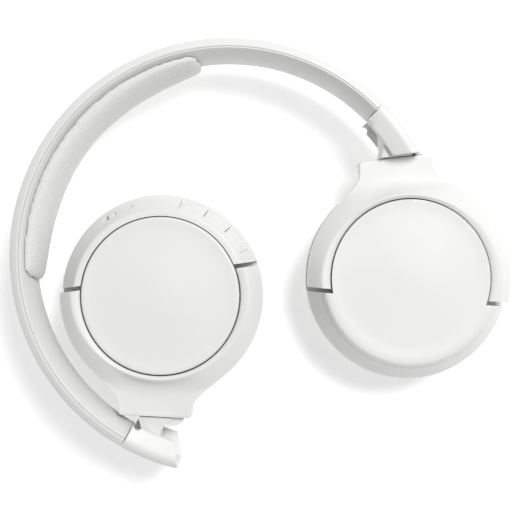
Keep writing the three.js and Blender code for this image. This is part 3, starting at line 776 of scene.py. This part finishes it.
def half_space(name, hand, past, towards_neck, bottom, top, place):
    """Everything on one side of a line along the tilt axis, `past` mm beyond the cup's centre."""
    turn = Matrix.Rotation(math.radians(-hand * TILT_SKEW), 4, "Z")
    near, far = (-past, 120) if towards_neck else (-120, -past)
    outline = [(near, -120), (far, -120), (far, 120), (near, 120)]
    return prism(name, outline, bottom, top, place @ turn)


def neck_edge():
    """The yoke's outer edge from the middle of the neck's end round to its ring."""
    return [
        (NECK_END, 0), (NECK_END, 6), (NECK_END, 10), (NECK_END, 12.3), (NECK_END - 0.25, 13.1),
        (NECK_END - 1, 13.55), (NECK_END - 2.4, 13.65), (NECK_END - 4, 13.8), (NECK_END - 5.6, 14.25),
        (NECK_END - 7, 15.0), (NECK_END - 9.5, 17.1), (NECK_END - 12, 19.9), (NECK_END - 14.4, 22.6),
    ]


def eased(value):
    """A share from 0 to 1 with soft ends."""
    value = max(0.0, min(1.0, value))
    return value * value * (3 - 2 * value)


def yoke_section(x, y):
    """One section of the yoke, from its bore over the lip and down to its outer edge."""
    reach = math.hypot(x, y)
    ux, uy = x / reach, y / reach
    around = abs(math.degrees(math.atan2(y, x)))
    neck = eased((35 - around) / 24)
    lip = NECK_LIP + (YOKE_LIP - NECK_LIP) * eased((around - 15) / 75)
    points = [
        (RING_INNER, YOKE_BASE), (RING_INNER, LIP_TOP - 0.85), (RING_INNER + 0.15, LIP_TOP - 0.65),
        (RING_INNER + 0.6, LIP_TOP - 0.35), (lip - 0.7, LIP_TOP), (lip - 0.25, LIP_TOP - 0.1),
        (lip + 0.05, LIP_TOP - 0.42),
    ]
    start = lip + 0.05
    stop = reach - 0.35
    for k in range(1, 19):
        radius = start + (stop - start) * k / 18
        fall = min(1.0, (radius - start) / (CUP_RADIUS - start))
        ring_height = LIP_TOP - 0.42 - (5.6 - 1.2 * (YOKE_LIP - lip)) * fall ** 1.15
        neck_height = NECK_TOP + (LIP_TOP - 0.42 - NECK_TOP) * math.exp(-(radius - start) / 2.4)
        height = ring_height + (neck_height - ring_height) * neck
        points.append((radius, height))
    edge = points[-1][1]
    points += [
        (reach - 0.1, edge - 0.16), (reach, edge - 0.5),
        (reach, YOKE_BASE + 0.2), (reach - 0.2, YOKE_BASE),
    ]
    return [(r * ux, r * uy, z) for r, z in points]


def make_yoke(side, hand):
    """The half ring and its neck, bored for the swivel post and the two tilt pins."""
    place = cup_place(side)
    edge = neck_edge()
    tail = math.degrees(math.atan2(edge[-1][1], edge[-1][0]))
    ring = []
    for k in range(1, 45):
        angle = math.radians(tail + (118 - tail) * k / 44)
        ring.append((CUP_RADIUS * math.cos(angle), CUP_RADIUS * math.sin(angle)))
    near = thicken(edge) + ring
    outline = [(x, -y) for x, y in near[:0:-1]] + near
    yoke = loft(f"{side}_yoke_skin", [yoke_section(x, y) for x, y in outline], place)
    boss = prism("boss", rounded([
        (NECK_END - 3.8, -NECK_HALF, 0.8), (NECK_END, -NECK_HALF, 1.2),
        (NECK_END, NECK_HALF, 1.2), (NECK_END - 3.8, NECK_HALF, 0.8),
    ]), 20.5, YOKE_BASE + 0.7, place)
    combine(yoke, boss, "UNION")
    turn = math.radians(-hand * TILT_SKEW)
    foot = Vector((-TILT_OFFSET * math.cos(turn), -TILT_OFFSET * math.sin(turn), TILT_Z))
    axis = Vector((-math.sin(turn), math.cos(turn), 0))
    half_bore = TILT_PIN_END + GAP
    carve(
        yoke,
        half_space("tip_cut", hand, SLOT_NEAR, False, -10, 60, place),
        rod("post_bore", (NECK_END - 3.3, 0, SWIVEL_Z), (NECK_END + 1, 0, SWIVEL_Z), POST_BORE, place),
        rod("tilt_bore", foot - axis * half_bore, foot + axis * half_bore, TILT_BORE, place),
    )
    ease_edges(yoke, 0.3, 36)
    finish_piece(yoke, "polished_abs", "white_gloss_abs", f"{side}_arm", f"{side}_yoke")


def thicken(points, per_span=3):
    """Extra points along an outline, on a smooth curve through the given ones."""
    full = []
    for i in range(len(points) - 1):
        before = Vector(points[max(i - 1, 0)])
        start, end = Vector(points[i]), Vector(points[i + 1])
        after = Vector(points[min(i + 2, len(points) - 1)])
        for k in range(per_span):
            t = k / per_span
            point = 0.5 * (
                2 * start + (end - before) * t + (2 * before - 5 * start + 4 * end - after) * t ** 2
                + (3 * start - before - 3 * end + after) * t ** 3
            )
            full.append((point.x, point.y))
    full.append(points[-1])
    return full


# ---------- cup ----------


def cone_radius(height):
    """Radius of the free half's slope at a height."""
    return CUP_RADIUS + (FREE_LIP - CUP_RADIUS) * (height - CONE_BASE) / (LIP_TOP - CONE_BASE)


def cone_strip(name, start, end, bottom, top, proud, deep, place):
    """A strip of the cone between two rim angles and two heights."""
    rings = []
    steps = max(4, int(abs(end - start) / 1.2))
    for i in range(steps + 1):
        angle = math.radians(180 + start + (end - start) * i / steps)
        section = [(cone_radius(bottom) - deep, bottom), (cone_radius(bottom) + proud, bottom),
                   (cone_radius(top) + proud, top), (cone_radius(top) - deep, top)]
        rings.append([(r * math.cos(angle), r * math.sin(angle), z) for r, z in section])
    return loft(name, rings, place)


def on_cone(angle, out):
    """A point on the cone's outward normal at its mid height."""
    height = (CONE_BASE + LIP_TOP) / 2
    lean = math.atan2(CUP_RADIUS - FREE_LIP, LIP_TOP - CONE_BASE)
    radius = cone_radius(height) + out * math.cos(lean)
    turn = math.radians(180 + angle)
    return Vector((radius * math.cos(turn), radius * math.sin(turn), height + out * math.sin(lean)))


def control_cutters(place):
    """Openings in the control cup: the key slot, the switch, the light, the microphone, the socket."""
    port = Matrix.Rotation(math.radians(PORT_ANGLE), 4, "Z")
    outline = rounded([(-4.8, 18.35, 1.9), (4.8, 18.35, 1.9), (4.8, 22.25, 1.9), (-4.8, 22.25, 1.9)], 6)
    mouth = [[(x, y, z) for y, z in outline] for x in (-CUP_RADIUS - 2, 8 - CUP_RADIUS)]
    return [
        cone_strip("keys", BUTTON_EDGES[0] - 0.12, BUTTON_EDGES[3] + 0.12,
                   BUTTON_LOW - GAP, BUTTON_HIGH + GAP, 2, 3.4, place),
        cone_strip("switch", SWITCH_FROM, SWITCH_TO, 28.8, 31.8, 2, 3.4, place),
        rod("light", on_cone(LIGHT_ANGLE, -4), on_cone(LIGHT_ANGLE, 3), 0.65, place, 20),
        rod("mic", on_cone(MIC_ANGLE, -5), on_cone(MIC_ANGLE, 3), 0.5, place, 20),
        loft("port", mouth, place @ port),
    ]


def make_cup_housing(side, hand):
    """The cup's hollow housing, cut away on the neck's side for the yoke."""
    place = cup_place(side)
    outer = rounded([
        (20, HOUSING_BASE, 0), (CUP_RADIUS, HOUSING_BASE, 0.9), (CUP_RADIUS, CONE_BASE, 1.6),
        (FREE_LIP, LIP_TOP, 0.9), (20, LIP_TOP, 0),
    ], 6)
    housing = turned(f"{side}_cup_housing_skin", outer, place)
    inside = CUP_RADIUS - WALL
    hollow = turned("hollow", [
        (FRAME_OUTER - 1, 18), (inside, 18), (inside, CONE_BASE - 0.5),
        (FREE_LIP - WALL + 0.35, 31.1), (FRAME_OUTER - 1, 31.1),
    ], place)
    combine(hollow, half_space("inside", hand, SLOT_FAR + WALL, False, -10, 60, place), "INTERSECT")
    carve(
        housing,
        half_space("low_half", hand, SLOT_FAR, True, FLANGE_TOP, 60, place),
        turned("floor", [(10, 10), (inside, 10), (inside, 19.9), (10, 19.9)], place),
        turned("core", [(10, 0), (FRAME_OUTER, 0), (FRAME_OUTER, 60), (10, 60)], place),
        turned("rebate", [(10, 33), (FACE_RADIUS + 0.3, 33), (FACE_RADIUS + 0.3, 60), (10, 60)], place),
        hollow,
    )
    if side == "right":
        step = turned("step", [
            (FACE_RADIUS - 0.2, 33.5), (FACE_RADIUS + 0.6, 33.5),
            (FACE_RADIUS + 0.6, STEP_TOP), (FACE_RADIUS - 0.2, STEP_TOP),
        ], place)
        free_half = half_space("free_half", hand, SLOT_FAR, False, -10, 70, place)
        combine(housing, combine(step, free_half, "INTERSECT"), "UNION")
        carve(housing, *control_cutters(place))
    else:
        top = COVER_LOW - 0.1
        carve(housing, turned("top_cut", [(0, top), (60, top), (60, 60), (0, 60)], place))
    ease_edges(housing, 0.22, 40)
    finish_piece(housing, "polished_abs", "white_gloss_abs", f"{side}_cup", f"{side}_cup_housing")


def face_height(radius):
    """Height of the round face: domed in the middle, with a shallow valley inside its rim."""
    return FACE_TOP - 0.05 - 0.65 * eased(radius / 25.5) + 0.3 * eased((radius - 25.5) / 4)


def make_face(side, hand):
    """The cup's round face.  On the plain cup it runs on as the rim of the free half."""
    place = cup_place(side)
    profile = [(0, COVER_LOW + 1), (FACE_RADIUS - 2, COVER_LOW + 1), (FACE_RADIUS - 2, COVER_LOW)]
    if side == "left":
        rim = [(cone_radius(COVER_LOW), COVER_LOW), (FREE_LIP + 0.4, LIP_TOP - 0.9),
               (FREE_LIP + 0.1, LIP_TOP - 0.38), (FREE_LIP - 0.35, LIP_TOP - 0.06)]
        edge = FREE_LIP - 1
    else:
        rim = [(FACE_RADIUS, COVER_LOW), (FACE_RADIUS, LIP_TOP - 0.6),
               (FACE_RADIUS - 0.1, LIP_TOP - 0.25), (FACE_RADIUS - 0.35, LIP_TOP - 0.03)]
        edge = FACE_RADIUS - 0.9
    top = [(edge * (1 - k / 20), face_height(edge * (1 - k / 20))) for k in range(21)]
    face = turned(f"{side}_face", profile + rim + top, place)
    if side == "left":
        ring = turned("ring", [(FACE_RADIUS, 30), (60, 30), (60, 60), (FACE_RADIUS, 60)], place)
        neck_half = half_space("neck_half", hand, SLOT_FAR, True, -10, 70, place)
        carve(face, combine(ring, neck_half, "INTERSECT"))
        ease_edges(face, 0.25, 40)
    smooth(face)
    finish_piece(face, "polished_abs", "white_gloss_abs", f"{side}_cup", f"{side}_cup_cover")


def make_ear_pad(side):
    """The ear pad: a leatherette ring over foam, flat on its face and drawn in at its bore."""
    place = cup_place(side)
    section = rounded([
        (PAD_BORE + 5.2, 0.5, 3), (PAD_OUTER - 4.2, 0.5, 3.5), (PAD_OUTER - 0.9, 4.5, 3),
        (PAD_OUTER - 0.7, 10.5, 2), (PAD_OUTER - 2.8, PAD_TOP - 0.5, 0.8),
        (PAD_BORE + 2.6, PAD_TOP - 0.5, 0.8), (PAD_BORE + 0.7, 8.6, 3), (PAD_BORE + 1.9, 3.6, 2),
    ], 5)
    pad = turned(f"{side}_ear_cushion", section, place, 96)
    simulate_stuffing(pad, 1.5, 0.9)
    refine(pad)
    centre = place.translation
    for vertex in pad.data.vertices:
        offset = Vector((vertex.co.x - centre.x, vertex.co.y - centre.y))
        radius, height = offset.length / MM, vertex.co.z / MM
        angle = math.atan2(offset.y, offset.x)
        pucker = noise.noise(Vector((14 * math.cos(angle), 14 * math.sin(angle), height * 0.12)))
        near_bore = eased((PAD_BORE + 6 - radius) / 5)
        seam = math.exp(-((height - SEAM_HEIGHT) / 0.45) ** 2) * eased((radius - PAD_OUTER + 4) / 2)
        change = near_bore * pucker * 0.5 - seam * SEAM_DEPTH
        offset *= 1 + change / radius
        vertex.co.x, vertex.co.y = centre.x + offset.x, centre.y + offset.y
        vertex.co.z = min(max(vertex.co.z, 0.0), PAD_TOP * MM)
    smooth(pad, 70)
    finish_piece(pad, "leatherette", "white_leatherette", f"{side}_cup", f"{side}_ear_pad")


def make_pad_stitches(side):
    """A line of stitches round the pad, in the groove where its side joins its skirt."""
    place = cup_place(side)
    radius = PAD_OUTER - 0.95
    points, faces = [], []
    for i in range(STITCH_COUNT):
        middle = 2 * math.pi * (i + 0.5) / STITCH_COUNT
        half = 0.36 * 2 * math.pi / STITCH_COUNT
        first = len(points)
        for k in range(5):
            angle = middle + half * (k / 2 - 1)
            lift = 0.28 * math.cos((k / 2 - 1) * math.pi / 2)
            thread = THREAD_RADIUS * (0.55 if k in (0, 4) else 1)
            for c in range(6):
                turn = 2 * math.pi * c / 6
                r = radius + lift + thread * math.cos(turn)
                z = SEAM_HEIGHT + thread * math.sin(turn)
                points.append((r * math.cos(angle), r * math.sin(angle), z))
        for k in range(4):
            for c in range(6):
                a, b = first + 6 * k + c, first + 6 * k + (c + 1) % 6
                faces.append((a, b, b + 6, a + 6))
        faces.append(tuple(first + c for c in range(6)))
        faces.append(tuple(first + 24 + c for c in range(6)))
    stitches = make_mesh(f"{side}_pad_stitches", points, faces, place)
    smooth(stitches, 80)
    finish_piece(stitches, "sewing_thread", "white_leatherette", f"{side}_cup")


def make_driver_cloth(side):
    """Thin cloth stretched over the driver, seen through the pad's bore."""
    cloth = turned(f"{side}_driver_cloth", [
        (0, 15.75), (13.2, 15.6), (14.25, 15.0), (14.25, 14.75), (13.1, 15.35), (0, 15.5),
    ], cup_place(side), 72)
    smooth(cloth, 50)
    finish_piece(cloth, "acoustic_cloth", "black_plastic", f"{side}_cup")


def make_controls():
    """Three keys and the power switch, flush in the control cup's sloping rim."""
    place = cup_place("right")
    for i, name in enumerate(("volume_down", "multifunction", "volume_up")):
        start = BUTTON_EDGES[i] + (SLIT if i else END_SLIT)
        end = BUTTON_EDGES[i + 1] - (SLIT if i < 2 else END_SLIT)
        key = cone_strip(f"{name}_cap", start, end, BUTTON_LOW, BUTTON_HIGH, 0.02, 1.7, place)
        if name in DIMPLES:
            angle = DIMPLES[name]
            carve(key, rod("dimple", on_cone(angle, -0.5), on_cone(angle, 2), 0.5, place, 20))
        ease_edges(key, 0.22, 40)
        finish_piece(key, "polished_abs", "white_gloss_abs", f"{name}_key", f"{name}_button")
    start = SWITCH_FROM + 0.5
    knob = cone_strip("switch_knob_cap", start, start + KNOB_WIDTH, 29.1, 31.5, 0.5, 1.9, place)
    ease_edges(knob, 0.3, 40)
    finish_piece(knob, "spark_textured_abs", "white_satin_abs", "power_switch", "power_switch_knob")


# ---------- floor ----------


def make_floor():
    """White paper over a light table, which lifts the shadows off the background."""
    finish, tree, shader, place = new_finish("studio_paper")
    tree.links.new(shade_between(tree, place, 60, "#FBFBFB", "#FDFDFD"), shader.inputs["Base Color"])
    shader.inputs["Roughness"].default_value = 0.8
    shader.inputs["Emission Color"].default_value = linear("#FFFFFF")
    shader.inputs["Emission Strength"].default_value = 0.34
    floor = make_mesh("floor", [(-3000, -3000, 0), (3000, -3000, 0), (3000, 3000, 0), (-3000, 3000, 0)],
                      [(0, 1, 2, 3)], Matrix.Identity(4))
    floor.data.materials.append(finish)


make_outer_shell()
make_inner_shell()
make_cushion()
for side, hand in SIDES.items():
    make_hinge_housing(side, hand)
    make_knuckle(side, hand)
    make_yoke(side, hand)
    make_cup_housing(side, hand)
    make_face(side, hand)
    make_ear_pad(side)
    make_pad_stitches(side)
    make_driver_cloth(side)
make_controls()
make_floor()
